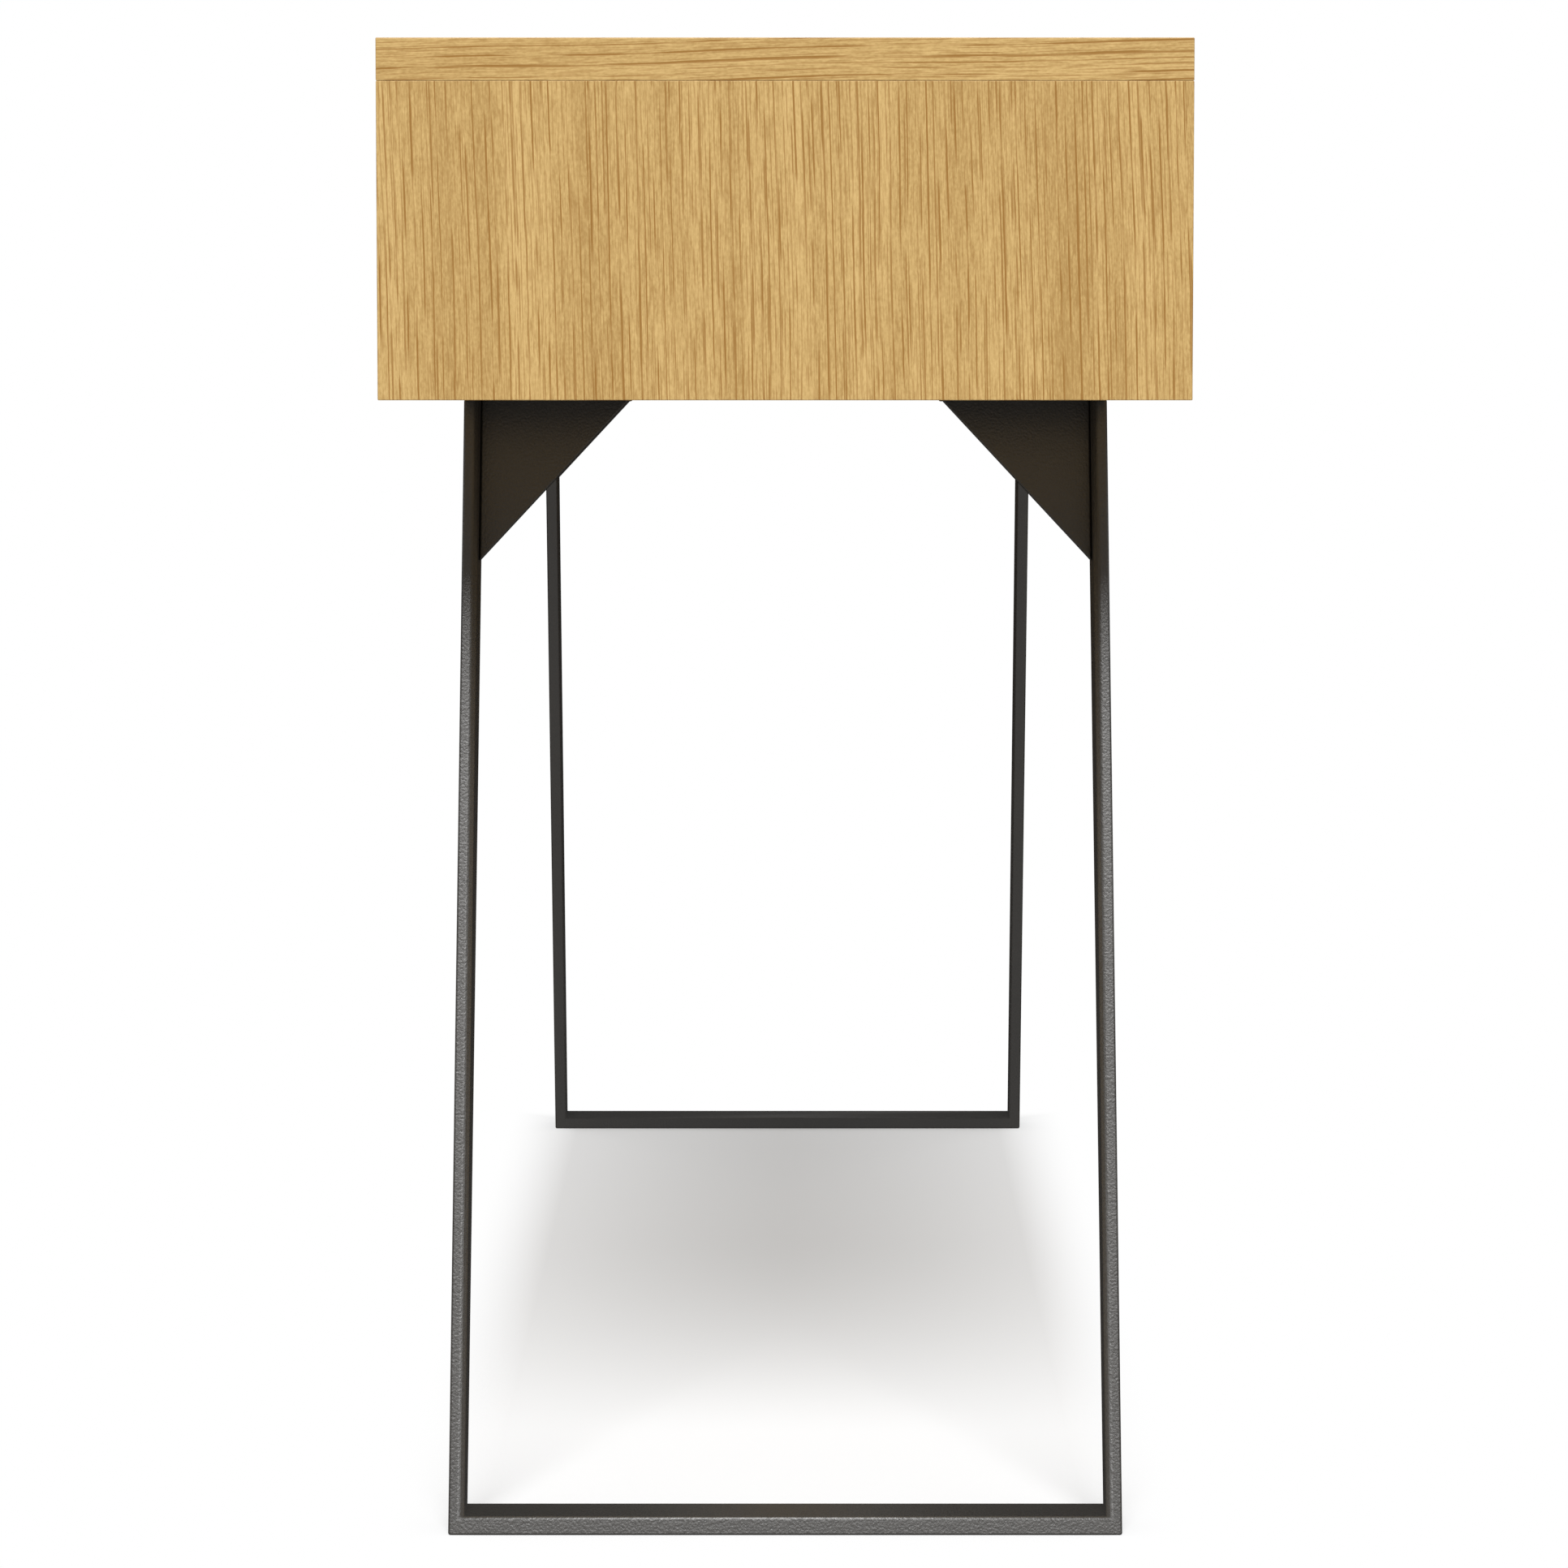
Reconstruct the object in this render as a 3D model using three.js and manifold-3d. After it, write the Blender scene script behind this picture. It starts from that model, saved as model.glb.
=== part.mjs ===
// Writing desk: an oak body with two drawers side by side, on two flat-bar leg frames
// that lean outwards along the desk. Millimetres. +X runs along the desk, the drawers
// open towards -Y and +Z is up. The origin is on the floor under the middle of the desk.
import * as THREE from 'three';
import { mergeVertices } from 'three/addons/utils/BufferGeometryUtils.js';
import Module from 'manifold-3d';

const wasm = await Module();
wasm.setup();

// Whole desk
const LENGTH = 1219;
const DEPTH = 410;
const HEIGHT = 762;

// Boards of the body
const TOP_THICKNESS = 21.5;
const BODY_HEIGHT = 160;
const END_THICKNESS = 18;
const BOTTOM_THICKNESS = 15;
const BACK_THICKNESS = 12;
const BACK_INSET = 2;
const DIVIDER_THICKNESS = 18;
const BODY_FRONT_SETBACK = 21;

// Drawer fronts
const FRONT_THICKNESS = 18;
const FRONT_INSET = 1;
const FRONT_SIDE_GAP = 2;
const FRONT_MIDDLE_GAP = 3;
const FRONT_TOP_GAP = 3;
const FRONT_BOTTOM_GAP = 0.5;
const PULL_WIDTH = 120;
const PULL_DEPTH = 24;
const PULL_RADIUS = 18;

// Drawer boxes
const BOX_LENGTH = 354;
const BOX_HEIGHT = 110;
const BOX_WALL = 12;
const BOX_LIFT = 7.5;
const PLY_THICKNESS = 5;
const GROOVE_DEPTH = 6;
const GROOVE_HEIGHT_UP = 6;
const GAP = 0.3;

// Three-member ball-bearing slides; depths are measured from the wall that carries them
const SLIDE_LENGTH = 350;
const SLIDE_SPACE = 13;
const SLIDE_SETBACK = 2;
const SLIDE_STEEL = 1.2;
const SLIDE_MEMBERS = {
  cabinet_member: { halfHeight: 22.5, web: 0, lip: 8.4 },
  middle_member: { halfHeight: 17.5, web: 3.4, lip: 10.6 },
  drawer_member: { halfHeight: 12.5, web: SLIDE_SPACE, lip: 6.2 },
};

// Leg frames: flat bar on edge, closed along the floor, with a plate on top
const BAR_THICKNESS = 8;
const FOOT_THICKNESS = 8.6;
const FRAME_WIDTH_AT_FLOOR = 345;
const FRAME_WIDTH_AT_BODY = 342;
const BAR_DEPTH_AT_FLOOR = 30.6;
const BAR_DEPTH_AT_BODY = 44.5;
const LEAN = 0.2563; // tangent of the outer face's lean
const PLATE_THICKNESS = 4;
const PLATE_WIDTH = 80;
const GUSSET_THICKNESS = 8;
const GUSSET_INNER_Y = 78.4; // where the sloping edge would meet the body
const GUSSET_LOW_Z = 489.8; // where it meets the leg

// Fasteners and bumpers
const BOLT_SPACING_X = 60;
const BOLT_SPACING_Y = 116;
const BOLT_LENGTH = 14;
const BOLT_RADIUS = 2.8;
const HEAD_RADIUS = 6;
const HEAD_DEPTH = 3.2;
const SOCKET_RADIUS = 2;
const SOCKET_DEPTH = 1.6;
const INSERT_INNER = 3.1;
const INSERT_OUTER = 4.5;
const INSERT_LENGTH = 12;
const BUMPER_RADIUS = 4;
const BUMPER_THICKNESS = 1.5;
const BUMPER_X = 250;
const ROUND_SEGMENTS = 24;

// Levels and planes worked out from the sizes above
const undersideZ = HEIGHT - TOP_THICKNESS;
const bodyZ = undersideZ - BODY_HEIGHT;
const floorBoardZ = bodyZ + BOTTOM_THICKNESS;
const frontY = -DEPTH / 2 + FRONT_INSET;
const frontBackY = frontY + FRONT_THICKNESS;
const bodyFrontY = -DEPTH / 2 + BODY_FRONT_SETBACK;
const backInnerY = DEPTH / 2 - BACK_INSET - BACK_THICKNESS;
const innerHalf = LENGTH / 2 - END_THICKNESS;
const bayWidth = innerHalf - DIVIDER_THICKNESS / 2;
const bayCentre = (innerHalf + DIVIDER_THICKNESS / 2) / 2;
const boxHalf = bayWidth / 2 - SLIDE_SPACE;
const boxZ = floorBoardZ + BOX_LIFT;
const plateZ = bodyZ - PLATE_THICKNESS;

const oak = new THREE.MeshStandardMaterial({ color: 0xd0aa68, roughness: 0.55, metalness: 0 });
const liner = new THREE.MeshStandardMaterial({ color: 0xd8c49a, roughness: 0.6, metalness: 0 });
const ply = new THREE.MeshStandardMaterial({ color: 0xdcc9a2, roughness: 0.6, metalness: 0 });
const steel = new THREE.MeshStandardMaterial({ color: 0x3a3836, roughness: 0.5, metalness: 0.4 });
const zinc = new THREE.MeshStandardMaterial({ color: 0xb9bcc0, roughness: 0.35, metalness: 0.9 });
const blackBolt = new THREE.MeshStandardMaterial({ color: 0x222222, roughness: 0.4, metalness: 0.7 });
const rubber = new THREE.MeshStandardMaterial({ color: 0xd9dbd6, roughness: 0.5, metalness: 0 });

const desk = new THREE.Group();

function place(parent, name, geometry, material) {
  const mesh = new THREE.Mesh(geometry, material.clone());
  mesh.name = name;
  parent.add(mesh);
  return mesh;
}

// A board between two opposite corners.
function board([x0, y0, z0], [x1, y1, z1]) {
  const geometry = new THREE.BoxGeometry(x1 - x0, y1 - y0, z1 - z0);
  geometry.translate((x0 + x1) / 2, (y0 + y1) / 2, (z0 + z1) / 2);
  return geometry;
}

// An outline in X and Z, pushed along Y from y0 to y1.
function prismAlongY(outline, y0, y1) {
  const shape = outline instanceof THREE.Shape ? outline : new THREE.Shape(outline);
  const geometry = new THREE.ExtrudeGeometry(shape, { depth: y1 - y0, bevelEnabled: false });
  geometry.rotateX(Math.PI / 2);
  geometry.translate(0, y1, 0);
  return geometry;
}

// An outline in Y and Z, pushed along X from x0 to x1.
function prismAlongX(outline, x0, x1) {
  const geometry = new THREE.ExtrudeGeometry(new THREE.Shape(outline), {
    depth: x1 - x0,
    bevelEnabled: false,
  });
  geometry.rotateX(Math.PI / 2);
  geometry.rotateZ(Math.PI / 2);
  geometry.translate(x0, 0, 0);
  return geometry;
}

// A turned piece on the Z axis from [radius, height] pairs that close on themselves.
function turned(profile) {
  const points = profile.map(([radius, height]) => new THREE.Vector2(radius, height));
  const geometry = new THREE.LatheGeometry(points, ROUND_SEGMENTS);
  return geometry.rotateX(Math.PI / 2);
}

function toSolid(geometry) {
  const bare = geometry.clone();
  bare.deleteAttribute('normal');
  bare.deleteAttribute('uv');
  const merged = mergeVertices(bare, 1e-4);
  return new wasm.Manifold(
    new wasm.Mesh({
      numProp: 3,
      vertProperties: new Float32Array(merged.attributes.position.array),
      triVerts: new Uint32Array(merged.index.array),
    }),
  );
}

function cut(geometry, tools) {
  let solid = toSolid(geometry);
  for (const tool of tools) solid = solid.subtract(toSolid(tool));
  const mesh = solid.getMesh();
  const result = new THREE.BufferGeometry();
  result.setAttribute('position', new THREE.BufferAttribute(mesh.vertProperties, 3));
  result.setIndex(new THREE.BufferAttribute(mesh.triVerts, 1));
  result.computeVertexNormals();
  return result;
}

// Body: the four bolt places of each leg frame are shared by plate, bolts and inserts
const barOuterX = (z) => LENGTH / 2 - LEAN * z;
const barDepth = (z) => BAR_DEPTH_AT_FLOOR + ((BAR_DEPTH_AT_BODY - BAR_DEPTH_AT_FLOOR) * z) / bodyZ;
const barMiddleX = (z) => barOuterX(z) - barDepth(z) / 2;
const plateCentreX = Math.round(barMiddleX(plateZ) * 4) / 4;

function boltPlaces(end) {
  const places = [];
  for (const sideX of [-1, 1]) {
    for (const sideY of [-1, 1]) {
      places.push([
        end * plateCentreX + (sideX * BOLT_SPACING_X) / 2,
        (sideY * BOLT_SPACING_Y) / 2,
      ]);
    }
  }
  return places;
}

function addBody() {
  place(
    desk,
    'top_panel',
    board([-LENGTH / 2, -DEPTH / 2, undersideZ], [LENGTH / 2, DEPTH / 2, HEIGHT]),
    oak,
  );
  for (const [name, end] of [['left_end_panel', -1], ['right_end_panel', 1]]) {
    const inner = end * innerHalf;
    const outer = (end * LENGTH) / 2;
    place(
      desk,
      name,
      board(
        [Math.min(inner, outer), -DEPTH / 2, bodyZ],
        [Math.max(inner, outer), DEPTH / 2, undersideZ],
      ),
      oak,
    );
  }
  place(
    desk,
    'back_panel',
    board([-innerHalf, backInnerY, bodyZ], [innerHalf, backInnerY + BACK_THICKNESS, undersideZ]),
    oak,
  );
  const insertHoles = [...boltPlaces(-1), ...boltPlaces(1)].map(([x, y]) =>
    turned([
      [0, bodyZ - 1],
      [INSERT_OUTER + GAP, bodyZ - 1],
      [INSERT_OUTER + GAP, bodyZ + INSERT_LENGTH + 1],
      [0, bodyZ + INSERT_LENGTH + 1],
    ]).translate(x, y, 0),
  );
  const floorBoard = board([-innerHalf, bodyFrontY, bodyZ], [innerHalf, backInnerY, floorBoardZ]);
  place(desk, 'bottom_panel', cut(floorBoard, insertHoles), liner);
  place(
    desk,
    'centre_divider',
    board(
      [-DIVIDER_THICKNESS / 2, bodyFrontY, floorBoardZ],
      [DIVIDER_THICKNESS / 2, backInnerY, undersideZ],
    ),
    liner,
  );
}

// Drawer front: a board with a rounded notch in its top edge for the fingers.
function frontOutline(x0, x1) {
  const low = bodyZ + FRONT_BOTTOM_GAP;
  const high = undersideZ - FRONT_TOP_GAP;
  const middle = (x0 + x1) / 2;
  const notchLow = high - PULL_DEPTH;
  const half = PULL_WIDTH / 2;
  const shape = new THREE.Shape();
  shape.moveTo(x0, low);
  shape.lineTo(x1, low);
  shape.lineTo(x1, high);
  shape.lineTo(middle + half, high);
  shape.lineTo(middle + half, notchLow + PULL_RADIUS);
  shape.absarc(middle + half - PULL_RADIUS, notchLow + PULL_RADIUS, PULL_RADIUS, 0, -Math.PI / 2, true);
  shape.absarc(middle - half + PULL_RADIUS, notchLow + PULL_RADIUS, PULL_RADIUS, -Math.PI / 2, -Math.PI, true);
  shape.lineTo(middle - half, high);
  shape.lineTo(x0, high);
  return shape;
}

// One drawer in a group at the middle of its bay; end is -1 for the left bay, 1 for the right.
function addDrawer(side, end) {
  const drawer = new THREE.Group();
  drawer.position.x = end * bayCentre;
  desk.add(drawer);

  const frontOuter = end * (innerHalf - FRONT_SIDE_GAP - bayCentre);
  const frontInner = end * (FRONT_MIDDLE_GAP / 2 - bayCentre);
  const grooveLow = boxZ + GROOVE_HEIGHT_UP;
  const grooveHigh = grooveLow + PLY_THICKNESS + 2 * GAP;
  const innerWall = boxHalf - BOX_WALL;
  const grooveHalf = innerWall + GROOVE_DEPTH;
  const boxBackY = frontBackY + BOX_LENGTH;

  const front = prismAlongY(
    frontOutline(Math.min(frontOuter, frontInner), Math.max(frontOuter, frontInner)),
    frontY,
    frontBackY,
  );
  const frontGroove = board(
    [-grooveHalf, frontBackY - GROOVE_DEPTH, grooveLow],
    [grooveHalf, frontBackY + 1, grooveHigh],
  );
  place(drawer, `${side}_drawer_front`, cut(front, [frontGroove]), oak);

  for (const [name, wall] of [['outer', end], ['inner', -end]]) {
    const face = wall * boxHalf;
    const inside = wall * innerWall;
    const slot = wall * grooveHalf;
    const outline = [
      [face, boxZ],
      [inside, boxZ],
      [inside, grooveLow],
      [slot, grooveLow],
      [slot, grooveHigh],
      [inside, grooveHigh],
      [inside, boxZ + BOX_HEIGHT],
      [face, boxZ + BOX_HEIGHT],
    ].map(([x, z]) => new THREE.Vector2(x, z));
    place(
      drawer,
      `${side}_drawer_${name}_side`,
      prismAlongY(outline, frontBackY, boxBackY),
      liner,
    );
  }
  place(
    drawer,
    `${side}_drawer_back`,
    board(
      [-innerWall, boxBackY - BOX_WALL, grooveHigh],
      [innerWall, boxBackY, boxZ + BOX_HEIGHT],
    ),
    liner,
  );
  place(
    drawer,
    `${side}_drawer_bottom`,
    board(
      [-grooveHalf + GAP, frontBackY - GROOVE_DEPTH + GAP, grooveLow + GAP],
      [grooveHalf - GAP, boxBackY, grooveHigh - GAP],
    ),
    ply,
  );

  for (const [name, wall] of [['outer', end], ['inner', -end]]) {
    addSlide(drawer, `${side}_${name}_slide`, wall);
  }

  const bumper = turned([
    [0, 0],
    [BUMPER_RADIUS, 0],
    [BUMPER_RADIUS, BUMPER_THICKNESS],
    [0, BUMPER_THICKNESS],
  ]).rotateX(-Math.PI / 2);
  [-1, 1].forEach((x, index) => {
    const mesh = place(drawer, `${side}_drawer_bumper_${index + 1}`, bumper, rubber);
    mesh.position.set(x * BUMPER_X, frontBackY, bodyZ + BOTTOM_THICKNESS / 2);
  });
}

// Three nested channels on one side of a drawer box; wall is the side that carries them.
function addSlide(parent, name, wall) {
  const wallX = wall * (bayWidth / 2);
  const middleZ = boxZ + BOX_HEIGHT / 2;
  const startY = frontBackY + SLIDE_SETBACK;
  for (const [member, { halfHeight, web, lip }] of Object.entries(SLIDE_MEMBERS)) {
    const towardsLip = Math.sign(lip - web);
    const webFace = web + towardsLip * SLIDE_STEEL;
    const inner = halfHeight - SLIDE_STEEL;
    const outline = [
      [web, -halfHeight],
      [lip, -halfHeight],
      [lip, -inner],
      [webFace, -inner],
      [webFace, inner],
      [lip, inner],
      [lip, halfHeight],
      [web, halfHeight],
    ].map(([depth, z]) => new THREE.Vector2(wallX - wall * depth, middleZ + z));
    place(parent, `${name}_${member}`, prismAlongY(outline, startY, startY + SLIDE_LENGTH), zinc);
  }
}

// Moves points in proportion to their height: the lean of a gusset or the taper of a leg.
function lean(geometry, xPerZ, yPerZ) {
  const shear = new THREE.Matrix4().set(1, 0, xPerZ, 0, 0, 1, yPerZ, 0, 0, 0, 1, 0, 0, 0, 0, 1);
  return geometry.applyMatrix4(shear);
}

// One leg frame; end is -1 for the left end of the desk, 1 for the right.
function addLegFrame(side, end) {
  const halfWidth = FRAME_WIDTH_AT_FLOOR / 2;
  const taper = (FRAME_WIDTH_AT_FLOOR - FRAME_WIDTH_AT_BODY) / 2 / bodyZ;
  const barEdge = (z) => [
    new THREE.Vector2(end * barOuterX(z), z),
    new THREE.Vector2(end * (barOuterX(z) - barDepth(z)), z),
  ];
  const barOutline = (low, high) => [...barEdge(low), ...barEdge(high).reverse()];

  place(
    desk,
    `${side}_foot_bar`,
    prismAlongY(barOutline(0, FOOT_THICKNESS), -halfWidth, halfWidth),
    steel,
  );

  const legOutline = barOutline(FOOT_THICKNESS + GAP, plateZ - GAP);
  const gussetTop = plateZ - GAP;
  const innerFace = halfWidth - BAR_THICKNESS - taper * GUSSET_LOW_Z - GAP;
  const slope = (innerFace - GUSSET_INNER_Y) / (bodyZ - GUSSET_LOW_Z);
  const gussetInner = GUSSET_INNER_Y + slope * (bodyZ - gussetTop);
  const middleLean = LEAN + (BAR_DEPTH_AT_BODY - BAR_DEPTH_AT_FLOOR) / 2 / bodyZ;
  const halfGusset = (GUSSET_THICKNESS / 2) * Math.hypot(1, middleLean);
  const middleAtFloor = LENGTH / 2 - BAR_DEPTH_AT_FLOOR / 2;

  for (const [name, row] of [['front', -1], ['rear', 1]]) {
    const outer = row * halfWidth;
    const inner = row * (halfWidth - BAR_THICKNESS);
    const leg = prismAlongY(legOutline, Math.min(outer, inner), Math.max(outer, inner));
    place(desk, `${side}_${name}_leg_bar`, lean(leg, 0, -row * taper), steel);

    const triangle = [
      new THREE.Vector2(row * gussetInner, gussetTop),
      new THREE.Vector2(row * innerFace, gussetTop),
      new THREE.Vector2(row * innerFace, GUSSET_LOW_Z),
    ];
    const plate = prismAlongX(
      triangle,
      end * middleAtFloor - halfGusset,
      end * middleAtFloor + halfGusset,
    );
    place(desk, `${side}_${name}_gusset`, lean(plate, -end * middleLean, 0), steel);
  }

  const countersinks = boltPlaces(end).map(([x, y]) =>
    turned([
      [0, plateZ - 1],
      [HEAD_RADIUS + GAP, plateZ - 1],
      [HEAD_RADIUS + GAP, plateZ],
      [BOLT_RADIUS + GAP, plateZ + HEAD_DEPTH + GAP],
      [BOLT_RADIUS + GAP, bodyZ + 1],
      [0, bodyZ + 1],
    ]).translate(x, y, 0),
  );
  const plate = board(
    [end * plateCentreX - PLATE_WIDTH / 2, -FRAME_WIDTH_AT_BODY / 2, plateZ],
    [end * plateCentreX + PLATE_WIDTH / 2, FRAME_WIDTH_AT_BODY / 2, bodyZ],
  );
  place(desk, `${side}_mounting_plate`, cut(plate, countersinks), steel);

  const bolt = turned([
    [0, SOCKET_DEPTH],
    [SOCKET_RADIUS, SOCKET_DEPTH],
    [SOCKET_RADIUS, 0],
    [HEAD_RADIUS, 0],
    [BOLT_RADIUS, HEAD_DEPTH],
    [BOLT_RADIUS, BOLT_LENGTH],
    [0, BOLT_LENGTH],
  ]);
  const insert = turned([
    [INSERT_INNER, 0],
    [INSERT_OUTER, 0],
    [INSERT_OUTER, INSERT_LENGTH],
    [INSERT_INNER, INSERT_LENGTH],
    [INSERT_INNER, 0],
  ]);
  boltPlaces(end).forEach(([x, y], index) => {
    place(desk, `${side}_bolt_${index + 1}`, bolt, blackBolt).position.set(x, y, plateZ);
    const sleeve = place(desk, `${side}_insert_${index + 1}`, insert, zinc);
    sleeve.position.set(x, y, bodyZ + GAP);
  });
}

addBody();
for (const [side, end] of [['left', -1], ['right', 1]]) {
  addDrawer(side, end);
  addLegFrame(side, end);
}

export default desk;
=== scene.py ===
"""A shallow oak writing desk with two drawers, on two splayed leg frames of flat steel bar.

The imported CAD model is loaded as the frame, and each section below finishes one piece of the
desk, in the order in which a maker would put it together. Lengths are in metres.
"""
from math import cos, pi, radians

import bmesh
import bpy
from mathutils import Matrix, Vector


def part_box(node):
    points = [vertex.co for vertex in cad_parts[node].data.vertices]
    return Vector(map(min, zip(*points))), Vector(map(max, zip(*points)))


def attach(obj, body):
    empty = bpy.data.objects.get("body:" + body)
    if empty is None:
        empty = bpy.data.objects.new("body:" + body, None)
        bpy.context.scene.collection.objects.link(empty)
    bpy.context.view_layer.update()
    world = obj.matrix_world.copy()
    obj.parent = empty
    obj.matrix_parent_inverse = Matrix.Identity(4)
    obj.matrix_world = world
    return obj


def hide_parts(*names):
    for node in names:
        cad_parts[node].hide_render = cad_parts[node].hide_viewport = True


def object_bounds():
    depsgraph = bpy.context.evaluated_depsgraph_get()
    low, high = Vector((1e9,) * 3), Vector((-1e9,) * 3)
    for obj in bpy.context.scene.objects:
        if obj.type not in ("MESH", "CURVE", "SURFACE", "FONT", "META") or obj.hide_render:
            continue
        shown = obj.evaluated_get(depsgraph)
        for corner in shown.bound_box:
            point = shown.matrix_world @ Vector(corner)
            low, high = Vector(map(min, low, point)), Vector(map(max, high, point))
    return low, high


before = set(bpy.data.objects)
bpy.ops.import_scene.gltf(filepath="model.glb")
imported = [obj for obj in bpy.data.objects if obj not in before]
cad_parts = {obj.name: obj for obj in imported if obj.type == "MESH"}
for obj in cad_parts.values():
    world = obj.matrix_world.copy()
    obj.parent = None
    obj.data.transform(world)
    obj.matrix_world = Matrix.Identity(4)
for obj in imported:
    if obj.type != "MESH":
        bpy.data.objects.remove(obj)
cad_low, cad_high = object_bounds()


# --- Camera ---------------------------------------------------------------------------------
# The desk is seen from beyond its right-hand end, from a little above the body and with a long
# lens. The lens looks down slightly, and a small shift puts the desk in the frame.
CAMERA_AWAY, CAMERA_ASIDE, CAMERA_HEIGHT = 2.573, 0.0038, 0.6657
CAMERA_DOWN = radians(4.3)

camera_data = bpy.data.cameras.new("camera")
camera = bpy.data.objects.new("camera", camera_data)
bpy.context.scene.collection.objects.link(camera)
camera_data.lens = 117.4
camera_data.sensor_width = 36
camera_data.shift_x = -0.0055
camera_data.shift_y = -0.1078
camera_data.clip_end = 60
camera.location = (cad_high.x + CAMERA_AWAY, CAMERA_ASIDE, CAMERA_HEIGHT)
camera.rotation_euler = (pi / 2 - CAMERA_DOWN, 0, pi / 2)
bpy.context.scene.camera = camera


# --- Top ------------------------------------------------------------------------------------
# A board veneered with natural oak and lacquered matt. The grain runs along the desk, and the
# two ends are banded with veneer whose grain runs across. All its edges are eased by hand.
class Socket:
    """A shader socket that can be used in sums."""

    def __init__(self, finish, socket):
        self.finish, self.socket = finish, socket

    def maths(self, operation, first, second):
        return self.finish.node("ShaderNodeMath", {"operation": operation}, {0: first, 1: second})

    def __add__(self, other):
        return self.maths("ADD", self, other)

    def __sub__(self, other):
        return self.maths("SUBTRACT", self, other)

    def __rsub__(self, other):
        return self.maths("SUBTRACT", other, self)

    def __mul__(self, other):
        return self.maths("MULTIPLY", self, other)

    def __abs__(self):
        return self.maths("ABSOLUTE", self, 0)

    __radd__ = __add__
    __rmul__ = __mul__

    def or_more(self, other):
        return self.maths("MAXIMUM", self, other)


class Finish:
    """A material whose nodes are added one at a time."""

    def __init__(self, name):
        self.material = bpy.data.materials.new(name)
        self.material.use_nodes = True
        self.tree = self.material.node_tree
        self.shader = self.tree.nodes["Principled BSDF"]

    def put(self, inputs, values):
        for name, value in values.items():
            if isinstance(value, Socket):
                self.tree.links.new(value.socket, inputs[name])
            else:
                inputs[name].default_value = value

    def node(self, kind, settings=None, values=None, output=0):
        made = self.tree.nodes.new(kind)
        for name, value in (settings or {}).items():
            if name == "stops":
                self.put_stops(made.color_ramp, value)
            else:
                setattr(made, name, value)
        self.put(made.inputs, values or {})
        return Socket(self, made.outputs[output])

    def put_stops(self, ramp, stops):
        while len(ramp.elements) < len(stops):
            ramp.elements.new(0.5)
        for element, (position, colour) in zip(ramp.elements, stops):
            element.position = position
            element.color = (*colour, 1)

    def surface(self, **values):
        self.put(self.shader.inputs, {name.replace("_", " "): v for name, v in values.items()})
        return self.material

    def place(self):
        return self.node("ShaderNodeTexCoord", None, None, "Object")

    def noise(self, vector, detail=2.0):
        values = {"Vector": vector, "Scale": 1.0, "Detail": detail, "Roughness": 0.5}
        return self.node("ShaderNodeTexNoise", None, values)

    def stretch(self, vector, across, along):
        scale = (across, across, along)
        return self.node("ShaderNodeVectorMath", {"operation": "MULTIPLY"}, {0: vector, 1: scale})

    def step(self, value, low, high):
        settings = {"interpolation_type": "SMOOTHSTEP", "clamp": True}
        return self.node("ShaderNodeMapRange", settings, {0: value, 1: low, 2: high})

    def mix(self, factor, first, second):
        settings = {"data_type": "RGBA", "clamp_factor": True}
        return self.node("ShaderNodeMix", settings, {0: factor, 6: first, 7: second}, 2)

    def bump(self, height, strength, distance):
        values = {"Height": height, "Strength": strength, "Distance": distance}
        return self.node("ShaderNodeBump", None, values)


# Turns that bring a grain direction onto the pattern's own Z axis, a little askew as in real veneer.
GRAIN_TURN = {
    "x": (radians(1.2), radians(-90), 0),
    "y": (radians(88.6), 0, 0),
    "z": (radians(-1.5), 0, 0),
}
WAVER = 0.004


def grain_space(finish, grain, shift=(0, 0, 0)):
    """Object coordinates turned so that Z follows the grain, with a slow waver in it."""
    turned = finish.node(
        "ShaderNodeMapping", {"vector_type": "POINT"},
        {"Vector": finish.place(), "Rotation": GRAIN_TURN[grain], "Location": shift},
    )
    waver = finish.node(
        "ShaderNodeTexNoise", None,
        {"Vector": finish.stretch(turned, 14, 5), "Scale": 1.0, "Detail": 1.0}, "Color",
    )
    return finish.node(
        "ShaderNodeVectorMath", {"operation": "MULTIPLY_ADD"},
        {0: waver, 1: (WAVER, WAVER, 0), 2: turned},
    )


def grain_lines(finish, wood, spacing, width, length):
    """Straight lines along the grain, one to each strip of wood, that taper and break off."""
    height = finish.node("ShaderNodeSeparateXYZ", None, {0: wood}, "Z")
    flat = finish.node(
        "ShaderNodeVectorMath", {"operation": "DOT_PRODUCT"}, {0: wood, 1: (1, 1, 0)}, "Value"
    )
    ragged = finish.noise(finish.stretch(wood, 0.7 / width, 0.12 / width), 1)
    across = flat * (1 / spacing) + ragged * (0.3 * width / spacing)
    strip = finish.node("ShaderNodeMath", {"operation": "FLOOR"}, {0: across})
    chance = finish.node("ShaderNodeTexWhiteNoise", {"noise_dimensions": "1D"}, {"W": strip})
    spot = finish.node(
        "ShaderNodeCombineXYZ", None, {0: strip * 7.3, 1: height * (1 / length), 2: spacing * 900}
    )
    keep = finish.step(finish.noise(spot, 1.5), 0.34, 0.56)
    reach = (keep * (0.45 + chance * 0.55)) * (0.5 * width / spacing)
    away = abs(across - strip - 0.3 - chance * 0.4)
    return (1 - finish.step(away, reach * 0.5, reach + 0.01)) * keep


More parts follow.
